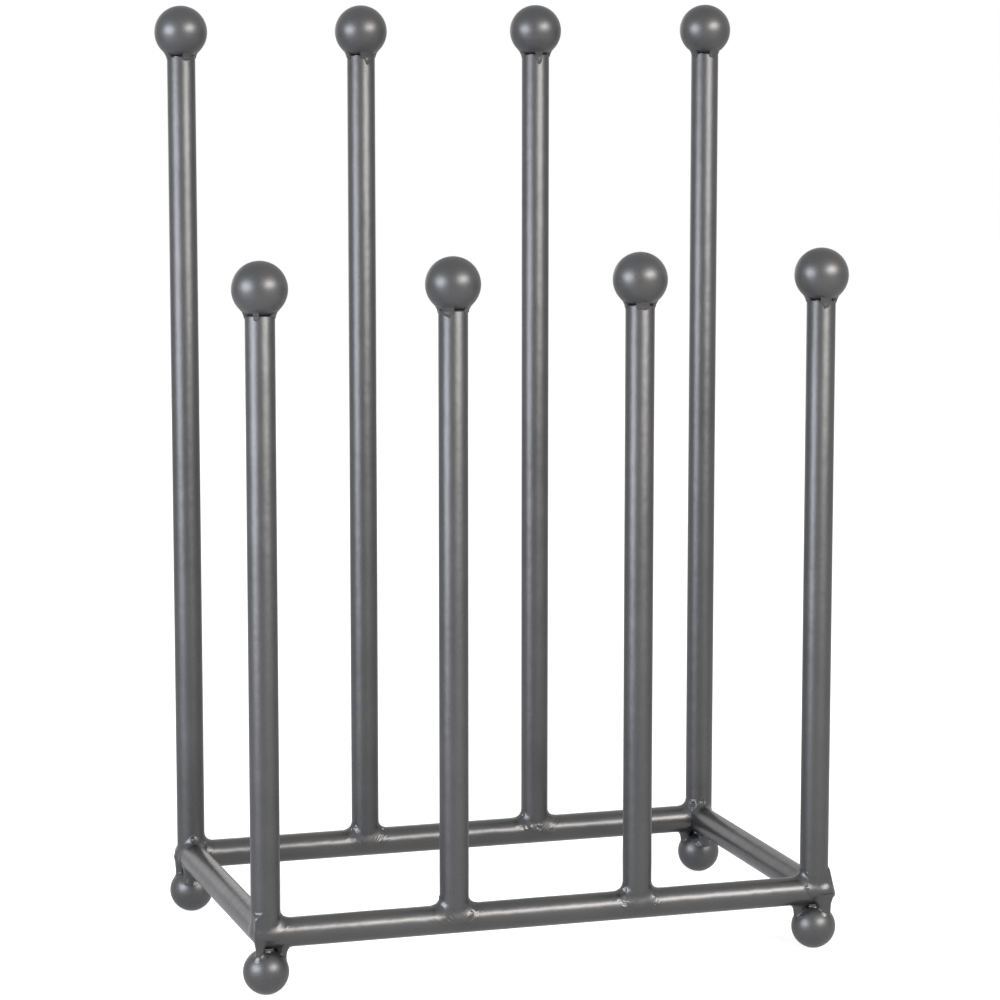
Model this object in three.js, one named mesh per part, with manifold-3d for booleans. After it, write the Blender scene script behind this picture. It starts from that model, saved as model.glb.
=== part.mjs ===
// A welded steel boot rack: two rows of four posts, each capped with a hollow ball,
// stand on a mitred base frame of the same round tube, which rests on four ball feet.
// Boots hang upside down over the posts; the back row is taller than the front row.
// Millimetres, +Z up. The origin is on the floor under the middle of the base frame,
// +X runs along the rows and the front row is on the -Y side.
import * as THREE from "three";
import { mergeVertices } from "three/addons/utils/BufferGeometryUtils.js";
import Module from "manifold-3d";

const wasm = await Module();
wasm.setup();

// Driving dimensions of the rack
const TUBE_DIAMETER = 16;
const TUBE_WALL = 1.2;
const POSTS_PER_ROW = 4;
const POST_PITCH = 106;
const ROW_SPACING = 185;
const BACK_POST_LENGTH = 465.4; // from the rail's axis to the top of the tube
const FRONT_POST_LENGTH = 333.9;
const FINIAL_DIAMETER = 30;
const FOOT_DIAMETER = 25;
const BALL_WALL = 1.5;
const BALL_HOLE_DIAMETER = 9; // a pressed ball's open pole: down on a finial, up on a foot
const FOOT_FLAT_DIAMETER = 4; // worn flat that each foot stands on
const FIT_GAP = 0.2; // clearance between neighbouring pieces

// The weld under a finial: a root run in the slit, and tacks that lean out over the ball
const FINIAL_STANDOFF = 0.5; // how far the ball stands off the tube's inner edge
const FINIAL_ROOT_RECESS = 0.5; // the root run lies this far inside the tube's outer face
const FINIAL_TACKS = 4;
const FINIAL_TACK_LENGTH = 7; // up the ball and down the tube
const FINIAL_TACK_WIDTH = 5; // round the tube
const FINIAL_TACK_THICKNESS = 3.4;
const FINIAL_TACK_OUTSET = 0.5; // its middle lies this far outside the tube's face
const FINIAL_TACK_LEAN = 25; // degrees from upright

// The weld round the foot of a post: a low band all round, and tongues with a hollow top
const BAND_HEIGHT = 0.8; // how proud the band stands of the tubes
const TONGUE_REACH = 5; // how far a tongue runs out along a rail
const TONGUE_RISE = 6; // how far it climbs the post above the rail
const CORNER_RISE = 12; // how far the fill over a mitred corner climbs above the rail's axis

// The weld between two mitred rails
const MITRE_WELD_WIDTH = 1.2;
const MITRE_WELD_HEIGHT = 0.4;

// The tacks between a foot and the frame
const FOOT_WELD_GAP = 0.4; // between a foot's full round and the underside of the rail
const FOOT_TACK_WAIST = 4.8; // diameter of the tack's narrow middle
const FOOT_TACK_FLARE = 8; // diameter where it spreads onto the ball and the rail

// Where each joint carries its tacks, in degrees about +Z
const FRONT_FINIAL_TURNS = [-26, -34, -12, -8];
const BACK_FINIAL_TURNS = [8, 1, -8, 5];
const FOOT_TURNS = {
  front_left: [0, 225],
  front_right: [180, 305],
  back_left: [190, 262],
  back_right: [180, 278],
};

// How finely the round shapes are cut
const ROUND_SIDES = 16;
const BALL_STEPS = 8;
const CAVITY_STEPS = 3;
const TACK_SIDES = 6;
const TACK_STEPS = 4;
const FILLET_STEPS = 3;
const MERGE_DISTANCE = 0.0001;

// Sizes that follow from the driving ones
const tubeRadius = TUBE_DIAMETER / 2;
const boreRadius = tubeRadius - TUBE_WALL;
const finialRadius = FINIAL_DIAMETER / 2;
const footRadius = FOOT_DIAMETER / 2;
const footFlatRadius = FOOT_FLAT_DIAMETER / 2;
const holeRadius = BALL_HOLE_DIAMETER / 2;
const bandRadius = tubeRadius + BAND_HEIGHT;
const rowLength = POST_PITCH * (POSTS_PER_ROW - 1);
const cornerX = rowLength / 2;
const cornerY = ROW_SPACING / 2;
const footCentreZ = Math.sqrt(footRadius ** 2 - footFlatRadius ** 2);
const railZ = footCentreZ + footRadius + FOOT_WELD_GAP + tubeRadius;
const finialSeat = Math.sqrt(finialRadius ** 2 - boreRadius ** 2) + FINIAL_STANDOFF;
const overrun = TUBE_DIAMETER; // how far a cutting tool runs past the work

const paintedSteel = { color: 0x5f6062, roughness: 0.42, metalness: 0.55 };
const materials = {
  tube: new THREE.MeshStandardMaterial(paintedSteel),
  ball: new THREE.MeshStandardMaterial({ ...paintedSteel, roughness: 0.38 }),
  weld: new THREE.MeshStandardMaterial({ ...paintedSteel, roughness: 0.32 }),
};

const radians = THREE.MathUtils.degToRad;

// A three.js geometry as a solid that can be joined and cut
function solidOf(geometry) {
  const bare = geometry.index ? geometry.toNonIndexed() : geometry.clone();
  bare.deleteAttribute("normal");
  bare.deleteAttribute("uv");
  const merged = mergeVertices(bare, MERGE_DISTANCE);
  return new wasm.Manifold(
    new wasm.Mesh({
      numProp: 3,
      vertProperties: merged.attributes.position.array,
      triVerts: new Uint32Array(merged.index.array),
    }),
  );
}

// A solid as a named mesh of the rack
function pieceOf(name, solid, material) {
  const cut = solid.getMesh();
  const geometry = new THREE.BufferGeometry();
  geometry.setAttribute("position", new THREE.BufferAttribute(new Float32Array(cut.vertProperties), 3));
  geometry.setIndex(new THREE.BufferAttribute(new Uint32Array(cut.triVerts), 1));
  const faceted = geometry.toNonIndexed();
  faceted.computeVertexNormals();
  const mesh = new THREE.Mesh(faceted, material);
  mesh.name = name;
  return mesh;
}

const joined = (solids) => solids.reduce((whole, next) => whole.add(next));
const cutBy = (solid, tools) => tools.reduce((left, tool) => left.subtract(tool), solid);

// A round bar along "x", "y" or "z", centred on a point. An upright one is turned by half
// a facet, so that its edges don't meet the edges of the bars that cross it.
function bar(axis, radius, length, centre) {
  const geometry = new THREE.CylinderGeometry(radius, radius, length, ROUND_SIDES);
  if (axis === "x") geometry.rotateZ(-Math.PI / 2);
  if (axis === "z") geometry.rotateY(Math.PI / ROUND_SIDES).rotateX(Math.PI / 2);
  return solidOf(geometry.translate(...centre));
}

// A flat-sided block between two corners
function block(low, high) {
  const size = high.map((value, i) => value - low[i]);
  const middle = high.map((value, i) => (value + low[i]) / 2);
  return solidOf(new THREE.BoxGeometry(...size).translate(...middle));
}

// Points of a circle about the axis, between two angles measured from its top
function arc(radius, from, to, steps) {
  return Array.from({ length: steps + 1 }, (_, i) => {
    const angle = from + ((to - from) * i) / steps;
    return new THREE.Vector2(radius * Math.sin(angle), radius * Math.cos(angle));
  });
}

// A hollow ball, open at its upper or lower pole (1 or -1) and flat at the other, or with
// a growth the solid ball that its neighbours keep clear of
function ball(radius, flatRadius, openPole, growth, centre) {
  const flatAngle = Math.PI - Math.asin(flatRadius / radius);
  const outside = arc(radius + growth, flatAngle, Math.asin(holeRadius / radius), BALL_STEPS);
  const flatCentre = new THREE.Vector2(0, outside[0].y);
  const cavity = radius - BALL_WALL;
  const inside = growth
    ? [new THREE.Vector2(0, outside[BALL_STEPS].y)]
    : arc(cavity, Math.asin(holeRadius / cavity), Math.PI, CAVITY_STEPS);
  const geometry = new THREE.LatheGeometry([flatCentre, ...outside, ...inside], ROUND_SIDES);
  return solidOf(geometry.rotateX((openPole * Math.PI) / 2).translate(...centre));
}

// The four sides of the base frame: each is drawn along +X with its outer side to -Y,
// then turned into place
const sides = [
  { name: "front_rail", turn: 0, halfLength: cornerX, offset: cornerY },
  { name: "right_end_rail", turn: Math.PI / 2, halfLength: cornerY, offset: cornerX },
  { name: "back_rail", turn: Math.PI, halfLength: cornerX, offset: cornerY },
  { name: "left_end_rail", turn: -Math.PI / 2, halfLength: cornerY, offset: cornerX },
];

// The space that one side takes up between its mitres, a prism over a trapezium
function mitredPrism(halfLength, halfWidth, cutback) {
  const outer = halfLength + halfWidth - cutback;
  const inner = halfLength - halfWidth - cutback;
  const plan = new THREE.Shape([
    new THREE.Vector2(-outer, -halfWidth),
    new THREE.Vector2(outer, -halfWidth),
    new THREE.Vector2(inner, halfWidth),
    new THREE.Vector2(-inner, halfWidth),
  ]);
  const depth = halfWidth * 2;
  return new THREE.ExtrudeGeometry(plan, { depth, bevelEnabled: false }).translate(0, 0, -halfWidth);
}

// One side of the frame as a mitred bar, or as a tube when it has a bore
function frameSide(side, radius, bore, cutback) {
  const length = (side.halfLength + overrun) * 2;
  const placed = (geometry) => solidOf(geometry.translate(0, -side.offset, railZ).rotateZ(side.turn));
  const rod = (size) =>
    placed(new THREE.CylinderGeometry(size, size, length, ROUND_SIDES).rotateZ(-Math.PI / 2));
  const mitred = rod(radius).intersect(placed(mitredPrism(side.halfLength, radius + FIT_GAP, cutback)));
  return bore ? mitred.subtract(rod(bore)) : mitred;
}

// The frame's corners, each with the directions that point out of the frame
const corners = [
  { name: "front_left", x: -cornerX, y: -cornerY, outX: -1, outY: -1 },
  { name: "front_right", x: cornerX, y: -cornerY, outX: 1, outY: -1 },
  { name: "back_left", x: -cornerX, y: cornerY, outX: -1, outY: 1 },
  { name: "back_right", x: cornerX, y: cornerY, outX: 1, outY: 1 },
];
const outwardAngle = (corner) => Math.atan2(corner.outY, corner.outX);

// The weld between two mitred rails, a thin ring in the plane of the mitre
function mitreRing(corner, width, radius, bore) {
  const reach = radius * 2;
  const centre = [corner.x, corner.y, railZ];
  const slab = new THREE.BoxGeometry(reach * 2, width, reach * 2);
  slab.rotateZ(outwardAngle(corner)).translate(...centre);
  const crossing = (size) => [bar("x", size, reach * 2, centre), bar("y", size, reach * 2, centre)];
  const [alongX, alongY] = crossing(radius);
  const disc = solidOf(slab).intersect(alongX).intersect(alongY);
  return bore ? cutBy(disc, crossing(bore)) : disc;
}

const mitreCutback = (MITRE_WELD_WIDTH / 2 + FIT_GAP) * Math.SQRT2;
const mitreRadius = tubeRadius + MITRE_WELD_HEIGHT;
const frameEnvelope = (growth) => joined(sides.map((side) => frameSide(side, tubeRadius + growth, 0, 0)));
const bandEnvelope = frameEnvelope(BAND_HEIGHT);
const frameKeepOut = joined([
  frameEnvelope(FIT_GAP),
  ...corners.map((corner) => mitreRing(corner, MITRE_WELD_WIDTH + FIT_GAP * 2, mitreRadius + FIT_GAP, 0)),
]);

// A post: a tube whose lower end is saddled over the frame
function postTube(post) {
  const centre = [post.x, post.y, railZ + post.length / 2];
  const bore = bar("z", boreRadius, post.length + overrun * 2, centre);
  return cutBy(bar("z", tubeRadius, post.length, centre), [bore, frameKeepOut]);
}

// A collar about a post's axis that flares out to a rim, in a hollow curve or, with one
// step, straight. It points in one direction and is no wider than the post across it.
function flaredCollar(post, angle, reach, rimZ, rise, steps) {
  const rim = tubeRadius + reach;
  const footZ = rimZ - tubeRadius;
  const profile = [new THREE.Vector2(0, footZ), new THREE.Vector2(tubeRadius, footZ)];
  for (let step = 0; step <= steps; step += 1) {
    const bend = (step / steps) * (Math.PI / 2);
    profile.push(new THREE.Vector2(rim - reach * Math.sin(bend), rimZ + rise * (1 - Math.cos(bend))));
  }
  profile.push(new THREE.Vector2(0, rimZ + rise));
  const collar = new THREE.LatheGeometry(profile, ROUND_SIDES).rotateX(Math.PI / 2);
  return solidOf(collar.scale(1, tubeRadius / rim, 1).rotateZ(angle).translate(post.x, post.y, railZ));
}

// The half of space on one side of a post's axis
function halfSpace(post, angle) {
  const reach = (tubeRadius + TONGUE_REACH) * 4;
  const half = new THREE.BoxGeometry(reach, reach, reach).translate(reach / 2, 0, 0);
  return solidOf(half.rotateZ(angle).translate(post.x, post.y, railZ));
}

// The weld round the foot of a post: tongues both ways along a rail, or at a corner one
// along each rail and a fill that runs down to the sharp edge of the mitre
function postWeld(post) {
  const { x, y, corner } = post;
  const band = bandEnvelope.intersect(bar("z", bandRadius, overrun * 2, [x, y, railZ + overrun]));
  const tools = [frameKeepOut, bar("z", tubeRadius + FIT_GAP, overrun * 4, [x, y, railZ])];
  const tongues = (angle) => flaredCollar(post, angle, TONGUE_REACH, tubeRadius, TONGUE_RISE, FILLET_STEPS);
  if (!corner) return cutBy(band.add(tongues(0)), tools);

  const inwardX = corner.outX > 0 ? Math.PI : 0;
  const inwardY = (-corner.outY * Math.PI) / 2;
  const outward = outwardAngle(corner);
  const fill = flaredCollar(post, outward, bandRadius * Math.SQRT2 - tubeRadius, 0, CORNER_RISE, 1);
  const flush = block(
    [x - tubeRadius, y - tubeRadius, railZ],
    [x + tubeRadius, y + tubeRadius, railZ + CORNER_RISE],
  );
  return cutBy(
    joined([
      band,
      tongues(inwardX).intersect(halfSpace(post, inwardX)),
      tongues(inwardY).intersect(halfSpace(post, inwardY)),
      fill.intersect(halfSpace(post, outward)).intersect(flush),
    ]),
    tools,
  );
}

function finialWeld(post) {
  const rim = railZ + post.length;
  const axis = [post.x, post.y];
  const rootRadius = tubeRadius - FINIAL_ROOT_RECESS;
  const root = bar("z", rootRadius, finialSeat, [...axis, rim + FIT_GAP + finialSeat / 2]);
  const tack = new THREE.SphereGeometry(FINIAL_TACK_LENGTH / 2, TACK_SIDES, TACK_STEPS)
    .rotateX(Math.PI / 2)
    .scale(FINIAL_TACK_THICKNESS / FINIAL_TACK_LENGTH, FINIAL_TACK_WIDTH / FINIAL_TACK_LENGTH, 1)
    .rotateY(radians(FINIAL_TACK_LEAN))
    .translate(tubeRadius + FINIAL_TACK_OUTSET, 0, FINIAL_STANDOFF);
  const tacks = Array.from({ length: FINIAL_TACKS }, (_, i) => {
    const turn = radians(post.tackTurn) + (i / FINIAL_TACKS) * Math.PI * 2;
    return solidOf(tack.clone().rotateZ(turn).translate(...axis, rim));
  });
  const tools = [
    bar("z", boreRadius, overrun * 4, [...axis, rim]),
    bar("z", tubeRadius + FIT_GAP, overrun, [...axis, rim + FIT_GAP - overrun / 2]),
    ball(finialRadius, 0, -1, FIT_GAP, [...axis, rim + finialSeat]),
  ];
  return cutBy(joined([root, ...tacks]), tools);
}

// The space under the frame, a little narrower than the frame is
const coverX = cornerX + tubeRadius - FIT_GAP;
const coverY = cornerY + tubeRadius - FIT_GAP;
const underFrame = block([-coverX, -coverY, 0], [coverX, coverY, railZ]);

// A foot's tack: a waisted column between the ball and the underside of the frame
function footTack(corner, turn) {
  const waist = FOOT_TACK_WAIST / 2;
  const flare = FOOT_TACK_FLARE / 2;
  const reach = footRadius - flare;
  const low = footCentreZ + Math.sqrt(footRadius ** 2 - reach ** 2) - flare;
  const profile = [new THREE.Vector2(0, low)];
  for (let step = 0; step <= FILLET_STEPS; step += 1) {
    const share = step / FILLET_STEPS;
    const swell = (2 * share - 1) ** 2;
    profile.push(new THREE.Vector2(waist + (flare - waist) * swell, low + (railZ - low) * share));
  }
  profile.push(new THREE.Vector2(0, railZ));
  const column = new THREE.LatheGeometry(profile, TACK_SIDES).rotateX(Math.PI / 2);
  column.translate(corner.x + reach * Math.cos(turn), corner.y + reach * Math.sin(turn), 0);
  const foot = ball(footRadius, footFlatRadius, 1, FIT_GAP, [corner.x, corner.y, footCentreZ]);
  return cutBy(solidOf(column).intersect(underFrame), [foot, frameKeepOut]);
}

const rack = new THREE.Group();

for (const side of sides) {
  rack.add(pieceOf(side.name, frameSide(side, tubeRadius, boreRadius, mitreCutback), materials.tube));
}

for (const corner of corners) {
  const ring = mitreRing(corner, MITRE_WELD_WIDTH, mitreRadius, boreRadius);
  rack.add(pieceOf(`${corner.name}_mitre_weld`, ring, materials.weld));
}

const rows = [
  { name: "front", y: -cornerY, length: FRONT_POST_LENGTH, turns: FRONT_FINIAL_TURNS },
  { name: "back", y: cornerY, length: BACK_POST_LENGTH, turns: BACK_FINIAL_TURNS },
];

for (const row of rows) {
  for (let i = 0; i < POSTS_PER_ROW; i += 1) {
    const x = i * POST_PITCH - cornerX;
    const isEnd = i === 0 || i === POSTS_PER_ROW - 1;
    const corner = isEnd && corners.find((c) => c.y === row.y && c.x * x > 0);
    const post = { x, y: row.y, length: row.length, tackTurn: row.turns[i % row.turns.length], corner };
    const number = i + 1;
    const finial = ball(finialRadius, 0, -1, 0, [x, row.y, railZ + row.length + finialSeat]);
    rack.add(pieceOf(`${row.name}_post_${number}`, postTube(post), materials.tube));
    rack.add(pieceOf(`${row.name}_post_weld_${number}`, postWeld(post), materials.weld));
    rack.add(pieceOf(`${row.name}_finial_weld_${number}`, finialWeld(post), materials.weld));
    rack.add(pieceOf(`${row.name}_finial_${number}`, finial, materials.ball));
  }
}

for (const corner of corners) {
  const foot = ball(footRadius, footFlatRadius, 1, 0, [corner.x, corner.y, footCentreZ]);
  rack.add(pieceOf(`${corner.name}_foot`, foot, materials.ball));
  FOOT_TURNS[corner.name].forEach((turn, i) => {
    rack.add(pieceOf(`${corner.name}_foot_tack_${i + 1}`, footTack(corner, radians(turn)), materials.weld));
  });
}

export default rack;
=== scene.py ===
# %% [markdown]
# # A boot rack of welded steel tube
# The rack is one welded piece. Eight upright tubes in two rows stand on a mitred base frame of the
# same tube, a ball closes each upright, and four smaller balls carry the frame. Boots hang upside
# down over the uprights. All of it wears one coat of satin pewter grey metallic paint.
#
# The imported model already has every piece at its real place, but with few flat sides. This notebook
# keeps those places and builds each piece again as the paint shop would hand it over: round tubes,
# pressed balls, and welds with toes, ripples and drips. Everything is in metres.

import math

import bpy
import numpy as np
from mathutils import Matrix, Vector, noise


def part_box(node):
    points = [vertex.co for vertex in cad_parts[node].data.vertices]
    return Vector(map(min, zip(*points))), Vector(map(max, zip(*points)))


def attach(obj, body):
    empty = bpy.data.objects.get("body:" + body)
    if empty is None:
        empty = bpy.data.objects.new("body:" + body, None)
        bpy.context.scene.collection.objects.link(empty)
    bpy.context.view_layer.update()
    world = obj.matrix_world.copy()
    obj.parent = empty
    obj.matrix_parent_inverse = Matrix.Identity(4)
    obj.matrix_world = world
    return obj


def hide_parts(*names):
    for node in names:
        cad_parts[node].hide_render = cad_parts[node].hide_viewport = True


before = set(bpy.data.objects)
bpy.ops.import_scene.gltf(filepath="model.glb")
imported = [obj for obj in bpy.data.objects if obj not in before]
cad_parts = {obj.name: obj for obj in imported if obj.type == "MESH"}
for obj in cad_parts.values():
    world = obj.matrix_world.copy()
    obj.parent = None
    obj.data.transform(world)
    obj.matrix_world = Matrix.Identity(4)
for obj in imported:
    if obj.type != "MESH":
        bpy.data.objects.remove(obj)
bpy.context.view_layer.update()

# %% [markdown]
# ## Sizes
# A copy of a number goes stale when the model changes, so places are read from the frame: where
# each tube, ball and weld stands. Only the few sizes that a box can't tell are written here.

# %% Read the places from the frame
MM = 0.001
CORNERS = ("front_left", "front_right", "back_left", "back_right")
ROWS = ("front", "back")
POSTS_PER_ROW = 4
POSTS = [(row, number) for row in ROWS for number in range(1, POSTS_PER_ROW + 1)]
TUBE_WALL = 1.2 * MM
BALL_WALL = 1.5 * MM
BALL_HOLE_RADIUS = 4.5 * MM
FINIAL_RADIUS = 15 * MM
FOOT_RADIUS = 12.5 * MM


def middle(node):
    low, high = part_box(node)
    return (low + high) / 2


rail_low, rail_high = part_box("front_rail")
TUBE_RADIUS = (rail_high.z - rail_low.z) / 2
RAIL_HEIGHT = middle("front_rail").z
HALF_DEPTH = middle("back_rail").y
HALF_WIDTH = middle("right_end_rail").x
print("tube radius", round(TUBE_RADIUS, 5), "rail height", round(RAIL_HEIGHT, 5))

# %% [markdown]
# ## Camera
# The photograph was taken from the front left, a little above the tall row, with a long lens, so
# the uprights stay almost parallel. These values come from matching the outlines of all twelve
# balls, and the lens is not shifted.

# %% Place the camera
CAMERA_TURN = math.radians(-17.4)
CAMERA_RISE = math.radians(8.21)
CAMERA_DISTANCE = 2.0203
CAMERA_LENS = 128.2
SENSOR_WIDTH = 36
CAMERA_AIM = Vector((0.0016, -0.0020, 0.2499))

towards_camera = Vector((
    math.sin(CAMERA_TURN) * math.cos(CAMERA_RISE),
    -math.cos(CAMERA_TURN) * math.cos(CAMERA_RISE),
    math.sin(CAMERA_RISE),
))
bpy.ops.object.camera_add(location=CAMERA_AIM + towards_camera * CAMERA_DISTANCE)
camera = bpy.context.object
camera.rotation_euler = towards_camera.to_track_quat("Z", "Y").to_euler()
camera.data.sensor_width = SENSOR_WIDTH
camera.data.lens = CAMERA_LENS
bpy.context.scene.camera = camera
print("camera at", [round(value, 3) for value in camera.location])

# %% [markdown]
# ## Light
# Every ball in the photograph shows two soft spots: a cool one on the left and a warm one on the
# right. Read as directions, the spots on all twelve balls meet in two places about 2 m from the
# rack. The same two lamps draw the stripes on the uprights. Each upright mirrors a place lower than
# itself, so the stripes fade downwards where the mirrored place drops below the lamp. The end rails
# run away from the camera and mirror what is behind the rack, so a weak third lamp is there. The
# background is white to the camera and in reflections, as in a white studio, but lights the rack
# only gently.

# %% Set up the white studio
STUDIO_FILL = 0.45
BACKDROP_STRENGTH = 1
WHITE = (1, 1, 1, 1)


def add_node(tree, kind, inputs=None, **settings):
    """A node with its settings. Each input is fed with a value or with another node's output."""
    made = tree.nodes.new(kind)
    for key, value in settings.items():
        setattr(made, key, value)
    for key, source in (inputs or {}).items():
        if isinstance(source, bpy.types.NodeSocket):
            tree.links.new(source, made.inputs[key])
        else:
            made.inputs[key].default_value = source
    return made


def add_math(tree, operation, first, second):
    return add_node(tree, "ShaderNodeMath", {0: first, 1: second}, operation=operation).outputs[0]


scene = bpy.context.scene
scene.view_settings.view_transform = "Standard"
world = bpy.data.worlds.new("white_studio")
scene.world = world
world.use_nodes = True
sky = world.node_tree
sky.nodes.clear()
seen = add_node(sky, "ShaderNodeLightPath").outputs
seen_white = add_math(sky, "MAXIMUM", seen["Is Camera Ray"], seen["Is Glossy Ray"])
seen_white = add_math(sky, "MAXIMUM", seen_white, seen["Is Transmission Ray"])
fill = add_node(sky, "ShaderNodeBackground", {"Color": WHITE, "Strength": STUDIO_FILL})
backdrop = add_node(sky, "ShaderNodeBackground", {"Color": WHITE, "Strength": BACKDROP_STRENGTH})
shades = {0: seen_white, 1: fill.outputs[0], 2: backdrop.outputs[0]}
choice = add_node(sky, "ShaderNodeMixShader", shades)
add_node(sky, "ShaderNodeOutputWorld", {"Surface": choice.outputs[0]})

# %% Hang the soft lamps
COOL = (0.90, 0.92, 1.00)
WARM = (1.00, 0.95, 0.89)
LAMP_TARGET = Vector((0, -0.05, 0.30))
# Place, width, height, watts and tint of each lamp
LAMPS = {
    "cool_lamp": ((-1.83, -0.72, 0.77), 1.55, 1.05, 47.0, COOL),
    "warm_lamp": ((0.95, -1.96, 1.28), 1.75, 0.75, 64.0, WARM),
    "back_lamp": ((-0.15, 2.50, 0.62), 2.40, 1.20, 6.0, WARM),
}


def add_lamp(name, place, width, height, power, tint):
    bpy.ops.object.light_add(type="AREA", location=place)
    lamp = bpy.context.object
    lamp.name = name
    lamp.rotation_euler = (Vector(place) - LAMP_TARGET).to_track_quat("Z", "Y").to_euler()
    lamp.data.shape = "ELLIPSE"
    lamp.data.size = width
    lamp.data.size_y = height
    lamp.data.energy = power
    lamp.data.color = tint
    lamp.visible_camera = False


for name, settings in LAMPS.items():
    add_lamp(name, *settings)
print("lamps", *LAMPS)

# %% [markdown]
# ## Floor
# The floor is a plain pale sheet. To the camera it adds white of its own, just enough to run into
# the backdrop without a horizon, and it still keeps the soft shadow that makes the rack stand on it.
# The rack mirrors less of that white, because in the photograph its lowest parts are the darkest.

# %% Lay the floor
FLOOR_SIZE = 8
FLOOR_WHITE = 0.62
FLOOR_COLOUR = (FLOOR_WHITE, FLOOR_WHITE, FLOOR_WHITE, 1)
FLOOR_GLOW = 1 - STUDIO_FILL * FLOOR_WHITE
FLOOR_MIRRORED = 0.6

bpy.ops.mesh.primitive_plane_add(size=FLOOR_SIZE)
floor = bpy.context.object
floor.name = "floor"
floor_paint = bpy.data.materials.new("pale_floor")
floor_paint.use_nodes = True
sheet = floor_paint.node_tree
sheet.nodes.clear()
floor_seen = add_node(sheet, "ShaderNodeLightPath").outputs
floor_mirrored = add_math(sheet, "MULTIPLY", floor_seen["Is Glossy Ray"], FLOOR_MIRRORED)
floor_shows = add_math(sheet, "MAXIMUM", floor_seen["Is Camera Ray"], floor_mirrored)
floor_shows = add_math(sheet, "MAXIMUM", floor_shows, floor_seen["Is Transmission Ray"])
glow_strength = add_math(sheet, "MULTIPLY", floor_shows, FLOOR_GLOW)
matt = add_node(sheet, "ShaderNodeBsdfDiffuse", {"Color": FLOOR_COLOUR})
glow = add_node(sheet, "ShaderNodeEmission", {"Color": WHITE, "Strength": glow_strength})
both = add_node(sheet, "ShaderNodeAddShader", {0: matt.outputs[0], 1: glow.outputs[0]})
add_node(sheet, "ShaderNodeOutputMaterial", {"Surface": both.outputs[0]})
floor.data.materials.append(floor_paint)

# %% [markdown]
# ## Paint
# The finish is a satin metallic paint: a dark grey with fine flakes under a soft gloss. One shader
# with a grain at two sizes gives it. The coarse noise shifts the tone a little, as uneven spraying
# does, the fine noise is the flakes, and a shallow bump is the orange peel of the film. A slower wave
# under it is the steel itself, which bends the edges of the stripes. A few dark specks, in patches,
# are pits that the paint did not fill. The uprights and the welds get a darker copy of the colours,
# which is painted shade. The rails keep the lighter colours of the balls and were wiped smoother, so
# they shine a little more.

# %% Mix the paint
CLOUD_SIZE = 30 * MM
FLAKE_SIZE = 0.5 * MM
FLAKE_SHARE = 0.6
PEEL_SIZE = 1.3 * MM
WAVE_SIZE = 8 * MM
NOISE_LOW = 0.3
NOISE_HIGH = 0.7
ROUGHNESS_SPREAD = 0.04
METALLIC = 0.85
SPECK_SPACING = 2.2 * MM
SPECK_SIZE = 0.10
SPECK_PATCH_SIZE = 9 * MM
SPECK_PATCH = 0.60
SPECK_DEPTH = 0.05 * MM
SPECK_COLOUR = (0.022, 0.022, 0.023, 1)
EDGE_TINT = (0.95, 0.95, 0.96, 1)
# The tube colours are the ball colours made darker, which is painted shade on the uprights and the welds.
SHADED_TUBE_DARK = (0.061, 0.062, 0.064, 1)
SHADED_TUBE_LIGHT = (0.087, 0.088, 0.091, 1)
BALL_DARK = (0.066, 0.067, 0.069, 1)
BALL_LIGHT = (0.094, 0.095, 0.098, 1)


def blend_colours(tree, amount, first, second):
    return add_node(tree, "ShaderNodeMix", {0: amount, 6: first, 7: second}, data_type="RGBA").outputs[2]


def add_noise(tree, place, size, detail):
    inputs = {"Vector": place, "Scale": 1 / size, "Detail": detail}
    return add_node(tree, "ShaderNodeTexNoise", inputs).outputs[0]


def spread(tree, value, low, high):
    """Noise crowds round its middle, so the part in use is stretched from low to high."""
    inputs = {"Value": value, "From Min": NOISE_LOW, "From Max": NOISE_HIGH, "To Min": low, "To Max": high}
    return add_node(tree, "ShaderNodeMapRange", inputs).outputs[0]


def add_specks(tree, place):
    """1 in small dots that gather in patches, and 0 elsewhere."""
    dots = add_node(tree, "ShaderNodeTexVoronoi", {"Vector": place, "Scale": 1 / SPECK_SPACING})
    dot = add_math(tree, "LESS_THAN", dots.outputs["Distance"], SPECK_SIZE)
    patch = add_math(tree, "GREATER_THAN", add_noise(tree, place, SPECK_PATCH_SIZE, 1), SPECK_PATCH)
    return add_math(tree, "MULTIPLY", dot, patch)


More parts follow.
